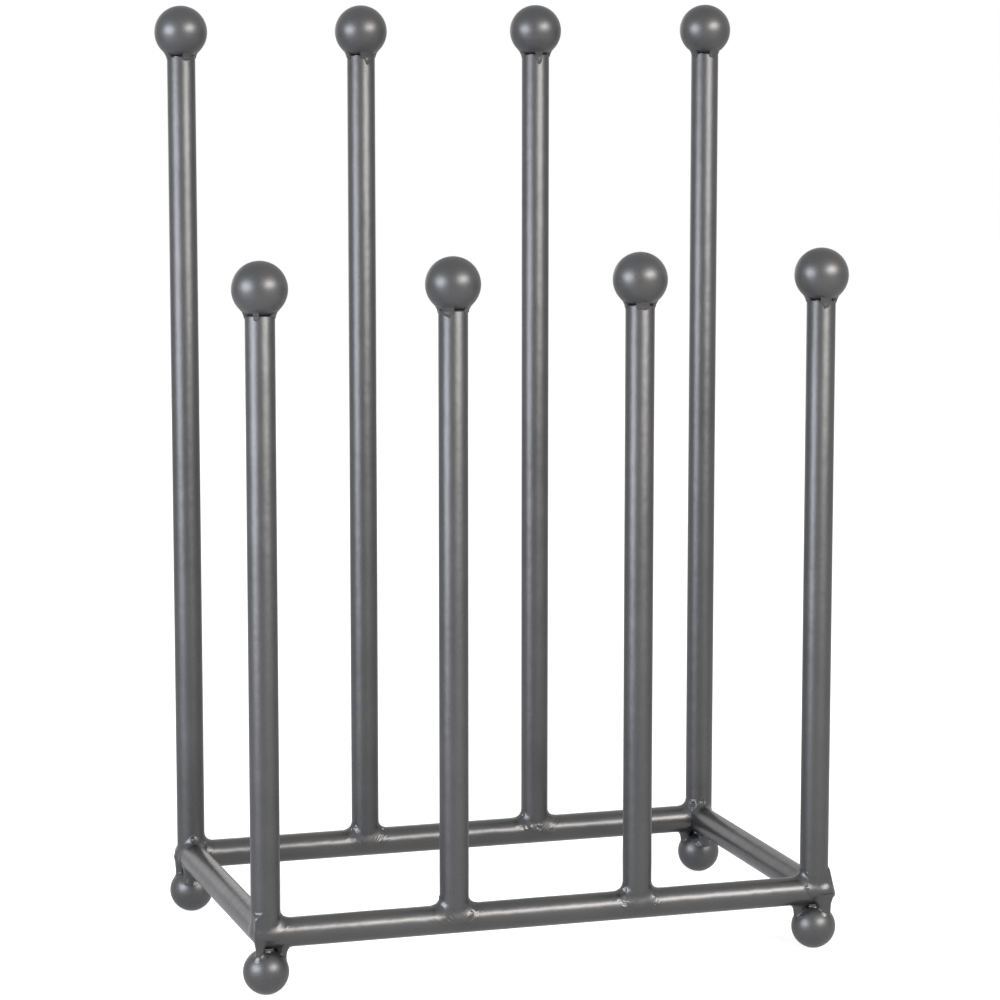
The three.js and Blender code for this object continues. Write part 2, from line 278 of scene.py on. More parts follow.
def mix_paint(name, dark, light, roughness, film, wave):
    paint = bpy.data.materials.new(name)
    paint.use_nodes = True
    tree = paint.node_tree
    shader = tree.nodes["Principled BSDF"]
    place = add_node(tree, "ShaderNodeTexCoord").outputs["Object"]
    clouds = add_noise(tree, place, CLOUD_SIZE, 2)
    flakes = add_noise(tree, place, FLAKE_SIZE, 2)
    fine = add_math(tree, "MULTIPLY", flakes, FLAKE_SHARE)
    shade = add_math(tree, "ADD", fine, add_math(tree, "MULTIPLY", clouds, 1 - FLAKE_SHARE))
    grey = blend_colours(tree, spread(tree, shade, 0, 1), dark, light)
    specks = add_specks(tree, place)
    tree.links.new(blend_colours(tree, specks, grey, SPECK_COLOUR), shader.inputs["Base Color"])
    dullness = spread(tree, flakes, roughness - ROUGHNESS_SPREAD, roughness + ROUGHNESS_SPREAD)
    tree.links.new(dullness, shader.inputs["Roughness"])
    peel = add_math(tree, "MULTIPLY", add_noise(tree, place, PEEL_SIZE, 2), film / MM)
    waves = add_math(tree, "MULTIPLY", add_noise(tree, place, WAVE_SIZE, 1), wave / MM)
    pits = add_math(tree, "MULTIPLY", specks, SPECK_DEPTH / MM)
    height = add_math(tree, "SUBTRACT", add_math(tree, "ADD", peel, waves), pits)
    bump = add_node(tree, "ShaderNodeBump", {"Strength": 1, "Distance": MM, "Height": height})
    tree.links.new(bump.outputs[0], shader.inputs["Normal"])
    shader.inputs["Metallic"].default_value = METALLIC
    shader.inputs["Specular Tint"].default_value = EDGE_TINT
    return paint


# The uprights and the welds take the darker tube colours, which are painted shade; the rails and the balls
# take the ball colours.
shaded_tube_paint = mix_paint("shaded_tube_paint", SHADED_TUBE_DARK, SHADED_TUBE_LIGHT, 0.42, 0.02 * MM, 0.22 * MM)
rail_paint = mix_paint("rail_paint", BALL_DARK, BALL_LIGHT, 0.36, 0.02 * MM, 0.22 * MM)
ball_paint = mix_paint("ball_paint", BALL_DARK, BALL_LIGHT, 0.41, 0.015 * MM, 0.08 * MM)
weld_paint = mix_paint("weld_paint", SHADED_TUBE_DARK, SHADED_TUBE_LIGHT, 0.34, 0.03 * MM, 0.10 * MM)

# %% [markdown]
# ## Hand tools
# A few short helpers do what a hand does in the viewport: select nothing, open a mesh for editing,
# cut it with a plane, add a modifier and apply it, and sign a finished piece off.

# %% Helpers for modelling
SMOOTH_ANGLE = math.radians(40)


def clear_selection():
    bpy.ops.object.select_all(action="DESELECT")


def apply_place(piece):
    bpy.context.view_layer.objects.active = piece
    piece.select_set(True)
    bpy.ops.object.transform_apply(location=True, rotation=True, scale=True)


def add_modifier(piece, kind, **settings):
    modifier = piece.modifiers.new(kind.title(), kind)
    for key, value in settings.items():
        setattr(modifier, key, value)
    bpy.context.view_layer.objects.active = piece
    bpy.ops.object.modifier_apply(modifier=modifier.name)


def edit_mesh(piece, action):
    """Opens a piece in edit mode, with all of its mesh selected or none of it."""
    bpy.context.view_layer.objects.active = piece
    bpy.ops.object.mode_set(mode="EDIT")
    bpy.ops.mesh.select_all(action=action)


def cut(piece, point, outwards, fill):
    edit_mesh(piece, "SELECT")
    bpy.ops.mesh.bisect(plane_co=point, plane_no=outwards, clear_outer=True, use_fill=fill)
    bpy.ops.object.mode_set(mode="OBJECT")


def sign_off(piece, name, paint, slot, *nodes):
    clear_selection()
    piece.select_set(True)
    edit_mesh(piece, "SELECT")
    bpy.ops.mesh.normals_make_consistent(inside=False)
    bpy.ops.object.mode_set(mode="OBJECT")
    bpy.ops.object.shade_smooth_by_angle(angle=SMOOTH_ANGLE)
    piece.name = name
    piece.data.name = name
    piece.data.materials.clear()
    piece.data.materials.append(paint)
    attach(piece, "root")
    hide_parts(*nodes)
    clear_selection()


# %% [markdown]
# ## Base frame
# The four rails are one size of tube, sawn at 45 degrees and welded into a rectangle. A cylinder
# without caps, cut by the two mitre planes, gives the outside. Solidify then gives the wall, because
# a solid bar would be wrong at the sawn ends.

# %% Cut and mitre the rails
TUBE_SIDES = 96
UPRIGHT = (0, 0, 0)
ALONG_X = (0, math.pi / 2, 0)
ALONG_Y = (math.pi / 2, 0, 0)
LONG_RAILS = {"front_rail": -1, "back_rail": 1}
END_RAILS = {"left_end_rail": -1, "right_end_rail": 1}


def add_tube(centre, length, turn):
    clear_selection()
    bpy.ops.mesh.primitive_cylinder_add(
        vertices=TUBE_SIDES, radius=TUBE_RADIUS, depth=length, end_fill_type="NOTHING",
        location=centre, rotation=turn,
    )
    tube = bpy.context.object
    apply_place(tube)
    return tube


def add_rail(node, centre, half_length, turn, along, across):
    rail = add_tube(centre, 2 * (half_length + 2 * TUBE_RADIUS), turn)
    for end in (-1, 1):
        corner = Vector(centre) + Vector(along) * half_length * end
        cut(rail, corner, Vector(along) * end - Vector(across), False)
    add_modifier(rail, "SOLIDIFY", thickness=TUBE_WALL, offset=-1, use_even_offset=True)
    sign_off(rail, node + "_tube", rail_paint, "tube", node)


for node, side in LONG_RAILS.items():
    add_rail(node, (0, side * HALF_DEPTH, RAIL_HEIGHT), HALF_WIDTH, ALONG_X, (1, 0, 0), (0, side, 0))
for node, side in END_RAILS.items():
    add_rail(node, (side * HALF_WIDTH, 0, RAIL_HEIGHT), HALF_DEPTH, ALONG_Y, (0, 1, 0), (side, 0, 0))
print("rails", len(LONG_RAILS) + len(END_RAILS))

# %% [markdown]
# ## Uprights
# Each upright is the same tube. Its foot is sawn to the round of the rails, so the lower ring of
# the cylinder is dropped, point by point, onto the frame. Over a corner that saddle follows both
# rails. The top rim shows as a thin edge in the slits under the balls, so it gets a small bevel.

# %% Stand the uprights on the frame
RIM_BEVEL = 0.25 * MM
SAME_HEIGHT = 0.01 * MM


def frame_inset(x, y):
    """How far inside the nearest rail's axis a place is, and negative outside the frame."""
    return np.minimum(HALF_WIDTH - np.abs(x), HALF_DEPTH - np.abs(y))


def saddle_height(x, y):
    return RAIL_HEIGHT + math.sqrt(max(TUBE_RADIUS**2 - float(frame_inset(x, y))**2, 0))


def bevel_rim(piece, height, width):
    edit_mesh(piece, "DESELECT")
    bpy.ops.mesh.select_mode(type="EDGE")
    bpy.ops.object.mode_set(mode="OBJECT")
    for edge in piece.data.edges:
        heights = [piece.data.vertices[index].co.z for index in edge.vertices]
        edge.select = all(abs(z - height) < SAME_HEIGHT for z in heights)
    bpy.ops.object.mode_set(mode="EDIT")
    bpy.ops.mesh.bevel(offset=width, segments=2, affect="EDGES")
    bpy.ops.mesh.select_mode(type="VERT")
    bpy.ops.object.mode_set(mode="OBJECT")


def add_post(node):
    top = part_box(node)[1].z
    place = middle(node)
    post = add_tube((place.x, place.y, (RAIL_HEIGHT + top) / 2), top - RAIL_HEIGHT, UPRIGHT)
    for vertex in post.data.vertices:
        if vertex.co.z < RAIL_HEIGHT + TUBE_RADIUS:
            vertex.co.z = saddle_height(vertex.co.x, vertex.co.y)
    add_modifier(post, "SOLIDIFY", thickness=TUBE_WALL, offset=-1, use_even_offset=True)
    bevel_rim(post, top, RIM_BEVEL)
    sign_off(post, node + "_tube", shaded_tube_paint, "tube", node)


for row, number in POSTS:
    add_post(f"{row}_post_{number}")
print("uprights", len(POSTS))

# %% [markdown]
# ## Balls
# A ball is a pressed steel shell with a hole at one pole, and the hole faces the tube or the frame.
# A sphere is opened there with a cut and gets a wall with Solidify. The other pole keeps the small
# dimple of the press on a finial, and a worn flat on a foot.

# %% Press the balls
BALL_COLUMNS = 96
BALL_RINGS = 48
DIMPLE_RADIUS = 1.2 * MM
DIMPLE_DEPTH = 0.22 * MM
FOOT_FLAT_RADIUS = 2 * MM
FOOT_CENTRE_HEIGHT = math.sqrt(FOOT_RADIUS**2 - FOOT_FLAT_RADIUS**2)
UNDERSIDE = 0
TOP = 1
UP = Vector((0, 0, 1))


def pole(node, end):
    """The middle of the underside or of the top of a node."""
    place = middle(node)
    return Vector((place.x, place.y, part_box(node)[end].z))


def add_shell(centre, radius, hole_side):
    clear_selection()
    bpy.ops.mesh.primitive_uv_sphere_add(
        segments=BALL_COLUMNS, ring_count=BALL_RINGS, radius=radius, location=centre,
    )
    shell = bpy.context.object
    apply_place(shell)
    hole_height = math.sqrt(radius**2 - BALL_HOLE_RADIUS**2)
    cut(shell, centre + UP * hole_side * hole_height, UP * hole_side, False)
    return shell


def press_dimple(shell, top):
    edit_mesh(shell, "DESELECT")
    bpy.ops.mesh.select_mode(type="FACE")
    bpy.ops.object.mode_set(mode="OBJECT")
    for face in shell.data.polygons:
        offset = face.center - top
        face.select = abs(offset.z) < DIMPLE_RADIUS and math.hypot(offset.x, offset.y) < DIMPLE_RADIUS
    bpy.ops.object.mode_set(mode="EDIT")
    bpy.ops.mesh.inset(thickness=DIMPLE_RADIUS / 4, depth=-DIMPLE_DEPTH)
    bpy.ops.mesh.select_mode(type="VERT")
    bpy.ops.object.mode_set(mode="OBJECT")


def finish_ball(shell, node):
    add_modifier(shell, "SOLIDIFY", thickness=BALL_WALL, offset=-1)
    sign_off(shell, node + "_ball", ball_paint, "ball", node)


def add_finial(node):
    top = pole(node, TOP)
    shell = add_shell(top - UP * FINIAL_RADIUS, FINIAL_RADIUS, -1)
    press_dimple(shell, top)
    finish_ball(shell, node)


def add_foot(node):
    floor_spot = pole(node, UNDERSIDE)
    shell = add_shell(floor_spot + UP * FOOT_CENTRE_HEIGHT, FOOT_RADIUS, 1)
    cut(shell, floor_spot, -UP, True)
    finish_ball(shell, node)


for row, number in POSTS:
    add_finial(f"{row}_finial_{number}")
for corner in CORNERS:
    add_foot(corner + "_foot")
print("balls", len(POSTS) + len(CORNERS))

# %% [markdown]
# ## How a weld is shaped
# Molten metal fills the corner between two pieces and draws a smooth hollow curve from one to the
# other. Modelling that by hand, vertex by vertex, is slow, and a boolean leaves hard edges. Distance
# fields do it well: each tube or ball is a small formula that gives the distance to its surface, and
# a soft minimum of two distances is zero exactly on such a hollow curve.
#
# Every weld starts as a torus. The outer half of its rows is laid on that curve, walking up from a
# ring on the weld to one toe and down to the other, and the inner half is kept inside the steel, so
# the piece stays closed. Ripples and lumps are then raised on it.

# %% Distance fields
LIFT = np.array([0.0, 0.0, 1.0])
PROBE = 0.01 * MM
TINY = 1e-9
SETTLE_STEPS = 4
LEAST_SLOPE = 0.05


def soft_minimum(first, second, blend):
    overlap = np.maximum(blend - np.abs(first - second), 0) / blend
    return np.minimum(first, second) - overlap**2 * blend / 4


def soft_maximum(first, second, blend):
    return -soft_minimum(-first, -second, blend)


def frame_gap(points):
    inset = frame_inset(points[:, 0], points[:, 1])
    return np.hypot(inset, points[:, 2] - RAIL_HEIGHT) - TUBE_RADIUS


def upright_gap(points, centre, radius):
    return np.hypot(points[:, 0] - centre[0], points[:, 1] - centre[1]) - radius


def ball_gap(points, centre, radius):
    return np.linalg.norm(points - np.array(centre), axis=1) - radius


def rod_gap(points, start, end, radius):
    along = np.array(end) - np.array(start)
    share = np.clip((points - start) @ along / (along @ along), 0, 1)
    return np.linalg.norm(points - start - share[:, None] * along, axis=1) - radius


def slope(field, points):
    """The direction in which a field grows fastest, from its value a little to either side."""
    steps = [field(points + PROBE * axis) - field(points - PROBE * axis) for axis in np.eye(3)]
    return np.stack(steps, axis=1) / (2 * PROBE)


def plane_slope(field, points, outward):
    lean = slope(field, points)
    across = (lean * outward).sum(axis=1, keepdims=True)
    return across, lean[:, 2:]


def settle(field, points, outward):
    """Brings points to the surface of a field without leaving their upright planes."""
    for _ in range(SETTLE_STEPS):
        across, lift = plane_slope(field, points, outward)
        size = np.maximum(across**2 + lift**2, LEAST_SLOPE)
        points = points - field(points)[:, None] * (outward * across + LIFT * lift) / size
    return points


def walk(field, ring, outward, length, steps, side):
    """Rows that follow the surface of a field away from a ring, upwards or downwards."""
    path = [ring]
    stride = (length / steps)[:, None] * side
    for _ in range(steps):
        across, lift = plane_slope(field, path[-1], outward)
        along = (LIFT * across - outward * lift) / (np.hypot(across, lift) + TINY)
        path.append(settle(field, path[-1] + stride * along, outward))
    return path[1:]


# %% Lay a weld on its field
SKIN_ROWS = 72
WELD_DEPTH = 0.7 * MM
TOE_SINK = 0.06 * MM
TOE_START = 0.8
TOE_LENGTH = 0.2
TORUS_RADIUS = 2 * MM
TORUS_THICKNESS = 1 * MM
ROUNDING = 1e-4
SEED_STEPS = (1.7, 0.9, 2.3)


def ease(share):
    """Bends a rise from 0 to 1 into one that starts and ends gently."""
    share = np.clip(share, 0, 1)
    return share * share * (3 - 2 * share)


def between(first, last, share):
    return first + (last - first) * share


def turn_apart(turns, turn):
    """How far directions are from a turn, in radians, counted the short way round."""
    return (turns - turn + math.pi) % (2 * math.pi) - math.pi


def lumps(points, size, seed):
    """Smooth random values from -1 to 1, the same on every run."""
    shift = Vector([seed * step for step in SEED_STEPS])
    return np.array([noise.noise(Vector(point) / size + shift) for point in points])


def torus_places(piece, columns):
    """The column, the height from -1 to 1, and the side of each vertex of a fresh torus."""
    places = np.array([vertex.co for vertex in piece.data.vertices])
    around = np.arctan2(places[:, 1], places[:, 0])
    section = np.arctan2(places[:, 2], np.hypot(places[:, 0], places[:, 1]) - TORUS_RADIUS)
    column = np.rint(around / (2 * math.pi / columns)).astype(int) % columns
    height = np.arcsin(np.clip(np.sin(section), -1, 1)) / (math.pi / 2)
    return column, height, np.cos(section) > -ROUNDING


def add_torus(columns, rows):
    clear_selection()
    bpy.ops.mesh.primitive_torus_add(
        major_segments=columns, minor_segments=rows,
        major_radius=TORUS_RADIUS, minor_radius=TORUS_THICKNESS,
    )
    piece = bpy.context.object
    return piece, *torus_places(piece, columns)


def lay_weld(field, centre, ring, rise, reach, relief):
    """A closed piece whose outer half lies on a field, from a ring up by rise and down by reach."""
    columns = len(ring)
    piece, column, height, outer = add_torus(columns, SKIN_ROWS)
    outward = ring - np.array([centre[0], centre[1], 0])
    outward[:, 2] = 0
    outward /= np.linalg.norm(outward, axis=1, keepdims=True)
    ring = settle(field, ring, outward)
    steps = SKIN_ROWS // 4
    up = walk(field, ring, outward, rise, steps, 1)
    down = walk(field, ring, outward, reach, steps, -1)
    rows = np.array(down[::-1] + [ring] + up)
    row = np.rint((height + 1) * steps).astype(int)
    surface = rows[row, column]
    normal = slope(field, surface)
    normal /= np.linalg.norm(normal, axis=1, keepdims=True)
    toe = np.clip((np.abs(height) - TOE_START) / TOE_LENGTH, 0, 1)
    raised = np.where(outer, relief(surface, column, height) * (1 - toe) - TOE_SINK * toe, 0)
    depth = np.where(outer, 0, TOE_SINK + WELD_DEPTH * np.sqrt(np.maximum(1 - height**2, 0)))
    piece.data.vertices.foreach_set("co", (surface + normal * (raised - depth)[:, None]).ravel())
    piece.data.update()
    return piece


def ring_around(centre, radius, height, columns):
    turns = np.arange(columns) * 2 * math.pi / columns
    across, along = radius * np.cos(turns), radius * np.sin(turns)
    heights = np.broadcast_to(height, turns.shape)
    return np.stack([centre[0] + across, centre[1] + along, heights], axis=1)


# %% [markdown]
# ## Where the feet hang
# Each foot hangs from two short webs of weld metal that flare out at both ends, with a dark gap
# between them. A short rod blended softly into the ball below and the frame above has that shape.
# The rods are written first, because the welds above them have to run into the same surface:
# two pieces that end on one shared surface leave no step between them.

# %% Place the webs of the feet
# Turn in degrees, offset at the ball, offset at the rail, radius and blend of each web, in mm
FOOT_WEBS = {
    "front_left": ((228, 7.6, 6.4, 1.5, 2.8), (357, 8.2, 9.2, 1.6, 4.6)),
    "front_right": ((180, 8.2, 9.2, 2.1, 4.6), (309, 7.0, 6.6, 2.6, 4.6)),
    "back_left": ((165, 6.2, 6.4, 1.8, 4.2), (250, 9.4, 8.6, 2.2, 4.0)),
    "back_right": ((180, 8.2, 8.8, 1.9, 4.6), (272, 8.6, 8.6, 2.8, 4.0)),
}


def web_rod(ball_centre, turn, low_offset, high_offset, radius):
    """The ends of a web's rod and its radius, from its turn, its two offsets and its width."""
    aim = np.array([math.cos(math.radians(turn)), math.sin(math.radians(turn)), 0])
    low = np.array(ball_centre) + aim * low_offset * MM
    high = np.array([ball_centre[0], ball_centre[1], RAIL_HEIGHT]) + aim * high_offset * MM
    return low, high, radius * MM


FOOT_CENTRES = {}
WEB_RODS = {}
for corner in CORNERS:
    foot = middle(corner + "_foot")
    FOOT_CENTRES[corner] = (foot.x, foot.y, FOOT_CENTRE_HEIGHT)
    WEB_RODS[corner] = [web_rod(FOOT_CENTRES[corner], *shape[:4]) for shape in FOOT_WEBS[corner]]
print("webs", {corner: len(rods) for corner, rods in WEB_RODS.items()})


def joined_with_web(points, upper, corner, number):
    """The frame and its welds, blended into one of the two webs under a corner."""
    blend = FOOT_WEBS[corner][number - 1][4] * MM
    return soft_minimum(upper, rod_gap(points, *WEB_RODS[corner][number - 1]), blend)


# %% [markdown]
# ## Welds at the feet of the uprights
# Upright and rail are equally thick, so their fronts are flush, and only along the rail do they meet
# at a right angle. The fill is deepest on those two sides. In front the bead swells a little over
# the rail, and the light on the rail bends round below it. Over a frame corner the welder also
# fills the outer side of the mitre and grinds it, which leaves two flat faces and a crease that
# climbs from the sharp corner to the upright. Each corner was ground by hand, so each crease leans
# in its own way. Pits and beads of spatter are written one by one, by turn and height, because a
# random pattern would put them on the clean side as often as on the rough one. The ripples run at a
# slant, are never quite even, and show in patches only.

# %% Fill the corners at the uprights
SIDE_BLEND = 6.4 * MM
FRONT_BLEND = 1.6 * MM
GROUND_BLEND = 1.0 * MM
FILL_BLEND = 1.0 * MM
FILL_CREASE = 0.5 * MM
FACE_INSET = 0.45 * MM
SWELL = 1.0 * MM
SWELL_WIDTH = 5.5 * MM
SWELL_DROP = 4.0 * MM
SWELL_EDGE = 4.0 * MM
POST_COLUMNS = 240
SIDE_LENGTH = 7.0 * MM
FRONT_RISE = 7.0 * MM
FRONT_REACH = 5.0 * MM
OBLIQUE_REACH = 3.5 * MM
GROUND_LENGTH = 3.0 * MM
FILL_REACH = 8.0 * MM
FILL_EDGE = 7.4 * MM
FILL_MARGIN = 1.15
HIGHEST_FILL = 30 * MM
RING_LIFT = 0.3 * MM
# Lean of the crease, the climb over which it runs straight, and how fast it turns after that
CREASES = {
    "front_left": (0.04, 8.5 * MM, 200.0), "front_right": (0.38, 10.0 * MM, 120.0),
    "back_left": (0.50, 3.0 * MM, 300.0), "back_right": (0.50, 3.0 * MM, 300.0),
}
# Lower end, upper end and radius of a run of metal beside a corner
SPILLS = {
    "front_right": ((0.1680, -0.0983, 0.0315), (0.1655, -0.0965, 0.0445), 1.6 * MM),
}
SPILL_BLEND = 1.6 * MM
# Turn in degrees, then climb, size and height in mm, of each pit (negative height) and bead
WELD_MARKS = {
    "front_post_weld_1": ((-15, 4.6, 1.0, 0.50), (-28, 3.6, 0.9, -0.35), (-8, 6.5, 0.8, 0.35)),
    "front_post_weld_2": (
        (-183, 12.6, 0.9, 0.60), (-179, 3.3, 1.3, -0.50), (-52, 3.0, 0.8, 0.30), (-42, 4.2, 0.8, 0.30),
        (-32, 5.4, 0.8, 0.30),
    ),
    "front_post_weld_3": ((-158, 8.3, 1.2, -0.45), (-166, 10.0, 0.7, 0.30), (-40, 5.0, 0.9, 0.25)),
    "front_post_weld_4": (
        (-166, 1.3, 0.9, 0.25), (-150, 2.2, 0.9, 0.25), (-133, 3.3, 0.9, 0.25), (-139, 10.8, 1.2, 0.20),
    ),
    "back_post_weld_1": ((-94, 10.8, 1.0, -0.50), (-46, 6.3, 0.9, 0.45), (-36, 8.0, 0.8, 0.40)),
    "back_post_weld_2": (
        (-161, 7.8, 1.1, -0.45), (-177, 4.0, 1.1, -0.35), (-75, 9.3, 0.8, -0.50), (-17, 8.3, 0.8, 0.70),
        (-150, 10.5, 0.8, 0.30),
    ),
    "back_post_weld_3": (
        (-84, 2.8, 0.9, -0.50), (-94, 3.4, 0.7, -0.40), (-124, 3.8, 0.9, 0.30), (-160, 9.8, 1.0, -0.40),
        (-20, 7.3, 1.0, 0.35),
    ),
    "back_post_weld_4": ((-135, 9.8, 1.3, -0.55), (-93, 11.8, 1.1, -0.45), (-89, 8.8, 0.8, 0.35)),
}
RIPPLE_PITCH = 2.0 * MM
RIPPLE_HEIGHT = 0.11 * MM
RIPPLE_SLANT = 0.9
RIPPLE_WOBBLE = 0.9 * MM
RIPPLE_WOBBLE_SIZE = 2.5 * MM
RIPPLE_CURVE = 2.4 * MM
RIPPLE_PATCH_SIZE = 5 * MM
SLASH_HEIGHT = 0.08 * MM
SLASHED = (None, "front_right")
LUMP_HEIGHT = 0.10 * MM
LUMP_SIZE = 3 * MM
LUMP_IN_FRONT = 0.3
MARK_RAGGED = 0.45
MARK_GRAIN = 0.9 * MM
PIT_RIM_HEIGHT = 0.3
PIT_RIM_RADIUS = 1.6


def corner_name(centre):
    """The frame corner under an upright, and None for an upright between two corners."""
    on_corner = abs(abs(centre[0]) - HALF_WIDTH) < MM
    row = "front" if centre[1] < 0 else "back"
    side = "left" if centre[0] < 0 else "right"
    return f"{row}_{side}" if on_corner else None


def post_blend(points, centre):
    """The width of the fill: wide where upright and rail meet squarely, narrow where they are flush."""
    away_x = points[:, 0] - centre[0]
    away_y = points[:, 1] - centre[1]
    size = np.hypot(away_x, away_y) + TINY
    if corner_name(centre) is None:
        return between(FRONT_BLEND, SIDE_BLEND, (away_x / size)**2)
    inward_x = np.maximum(-away_x * np.sign(centre[0]) / size, 0)
    inward_y = np.maximum(-away_y * np.sign(centre[1]) / size, 0)
    return between(GROUND_BLEND, SIDE_BLEND, np.clip(inward_x**2 + inward_y**2, 0, 1)**2)


def swelling(points, centre):
    """The weld metal over the flush face of a rail, thickest right under the upright."""
    on_corner = corner_name(centre)
    away_x = points[:, 0] - centre[0]
    away_y = points[:, 1] - centre[1]
    outward_y = away_y * np.sign(centre[1]) if on_corner else np.abs(away_y)
    thickness = np.exp(-(away_x / SWELL_WIDTH)**2) * ease(outward_y / SWELL_EDGE - 0.5)
    if on_corner:
        outward_x = away_x * np.sign(centre[0])
        beside = np.exp(-(away_y / SWELL_WIDTH)**2) * ease(outward_x / SWELL_EDGE - 0.5)
        thickness = np.maximum(thickness, beside)
    return SWELL * thickness * ease((points[:, 2] - RAIL_HEIGHT) / SWELL_DROP + 1)


def chamfer_at(corner, climb):
    """The width of the chamfer on a corner's fill, at a height over the rail's axis."""
    lean, straight, turn = CREASES[corner]
    return lean * climb + turn * np.maximum(climb - straight, 0)**2


def corner_fill_gap(points, corner):
    """The fill on the outer side of a mitre: two ground faces and a chamfer that grows upwards."""
    out_x = np.abs(points[:, 0]) - HALF_WIDTH
    out_y = np.abs(points[:, 1]) - HALF_DEPTH
    climb = points[:, 2] - RAIL_HEIGHT
    face = TUBE_RADIUS - FACE_INSET
    ridge = (out_x + out_y - 2 * face + chamfer_at(corner, climb)) / math.sqrt(2)
    faces = soft_maximum(out_x - face, out_y - face, FILL_CREASE)
    faces = soft_maximum(faces, ridge, FILL_CREASE)
    return np.maximum.reduce([faces, -out_x, -out_y, -climb])


def post_weld_field(centre):
    corner = corner_name(centre)

    def field(points):
        post = np.maximum(upright_gap(points, centre, TUBE_RADIUS), RAIL_HEIGHT - points[:, 2])
        frame_skin = frame_gap(points) - swelling(points, centre)
        joined = soft_minimum(post, frame_skin, post_blend(points, centre))
        if corner is None:
            return joined
        joined = soft_minimum(joined, corner_fill_gap(points, corner), FILL_BLEND)
        if corner in SPILLS:
            joined = soft_minimum(joined, rod_gap(points, *SPILLS[corner]), SPILL_BLEND)
        return np.minimum(*(joined_with_web(points, joined, corner, number) for number in (1, 2)))

    return field


def mark_height(points, centre, marks):
    """Pits with a raised rim, and beads of spatter, both with a ragged outline."""
    ragged = 1 + MARK_RAGGED * lumps(points, MARK_GRAIN, 3)
    away = points - np.array(centre)
    around = np.arctan2(away[:, 1], away[:, 0])
    raised = np.zeros(len(points))
    for turn, climb, size, height in marks:
        along = turn_apart(around, math.radians(turn)) * np.hypot(away[:, 0], away[:, 1])
        above = points[:, 2] - RAIL_HEIGHT - climb * MM
        distance = np.hypot(along, above) * ragged / (size * MM)
        raised += height * MM * np.exp(-distance**2)
        if height < 0:
            raised -= PIT_RIM_HEIGHT * height * MM * np.exp(-4 * (distance - PIT_RIM_RADIUS)**2)
    return raised


def post_relief(centre, marks, seed):
    slash = SLASH_HEIGHT if corner_name(centre) in SLASHED else 0

    def relief(points, column, height):
        turns = column * 2 * math.pi / POST_COLUMNS
        sides = np.cos(turns)**2
        oblique = 4 * sides * (1 - sides)
        arc = turns * TUBE_RADIUS
        climb = (points[:, 2] - RAIL_HEIGHT) * np.sign(np.cos(turns))
        wobble = RIPPLE_WOBBLE * lumps(points, RIPPLE_WOBBLE_SIZE, seed + 7)
        path = arc - RIPPLE_SLANT * climb + RIPPLE_CURVE * height**2 + wobble
        ripples = np.sin(path / RIPPLE_PITCH * 2 * math.pi)
        patch = np.clip(lumps(points, RIPPLE_PATCH_SIZE, seed) * 3 + 0.2, 0, 1)
        raised = (RIPPLE_HEIGHT * sides + slash * oblique) * ripples * patch
        raised = raised * np.clip(0.5 - height, 0, 1)
        uneven = LUMP_HEIGHT * lumps(points, LUMP_SIZE, seed + 5)
        raised = raised + uneven * between(LUMP_IN_FRONT, 1, sides)
        if corner_name(centre):
            outward_x = (points[:, 0] - centre[0]) * np.sign(centre[0])
            outward_y = (points[:, 1] - centre[1]) * np.sign(centre[1])
            raised = raised * ease(-np.maximum(outward_x, outward_y) / SWELL_EDGE + 0.8)
        return raised + mark_height(points, centre, marks)

    return relief


def fill_top(corner):
    """How high over the rail's axis the fill of a corner has run into the upright."""
    climbs = np.linspace(0, HIGHEST_FILL, 301)
    return float(climbs[np.searchsorted(chamfer_at(corner, climbs), FILL_EDGE)])


def weld_lengths(ring, centre):
    """How far the weld climbs up the upright and reaches down the rails, for each column."""
    corner = corner_name(centre)
    if corner is None:
        share = ((ring[:, 0] - centre.x) / TUBE_RADIUS)**2
        reach = between(FRONT_REACH, SIDE_LENGTH, share) + OBLIQUE_REACH * 4 * share * (1 - share)
        return between(FRONT_RISE, SIDE_LENGTH, share), reach
    share = np.clip((post_blend(ring, centre) - GROUND_BLEND) / (SIDE_BLEND - GROUND_BLEND), 0, 1)
    outer_x = np.maximum((ring[:, 0] - centre.x) * np.sign(centre.x) / TUBE_RADIUS, 0)
    outer_y = np.maximum((ring[:, 1] - centre.y) * np.sign(centre.y) / TUBE_RADIUS, 0)
    outer = ease(3.0 * np.sqrt(outer_x * outer_y))
    length = between(GROUND_LENGTH, SIDE_LENGTH, np.sqrt(share))
    fill_rise = (RAIL_HEIGHT + fill_top(corner) - ring[:, 2]) * FILL_MARGIN + MM
    flush = ease(2.0 - 4.0 * np.sqrt(share)) * (1 - outer)
    rise = between(length, fill_rise, outer) + (FRONT_RISE - length) * flush
    reach = between(length, FILL_REACH, outer) + (FRONT_REACH + OBLIQUE_REACH - length) * flush
    return rise, reach


def add_post_weld(node, seed):
    centre = middle(node.replace("_weld", ""))
    ring = ring_around(centre, TUBE_RADIUS, 0, POST_COLUMNS)
    inset = frame_inset(ring[:, 0], ring[:, 1])
    ring[:, 2] = RAIL_HEIGHT + np.sqrt(np.maximum(TUBE_RADIUS**2 - inset**2, 0)) + RING_LIFT
    rise, reach = weld_lengths(ring, centre)
    relief = post_relief(centre, WELD_MARKS[node], seed)
    weld = lay_weld(post_weld_field(centre), centre, ring, rise, reach, relief)
    sign_off(weld, node + "_bead", weld_paint, "weld", node)


seed = 0
for row, number in POSTS:
    seed += 10
    add_post_weld(f"{row}_post_weld_{number}", seed)
print("welds at the uprights", len(POSTS))

# %% [markdown]
# ## Seams of the mitres
# Where two rails meet, a thin seam runs round the tube in the plane of the mitre. It is a torus
# again, and this time each of its points is placed on the side of the rail that it lies on.

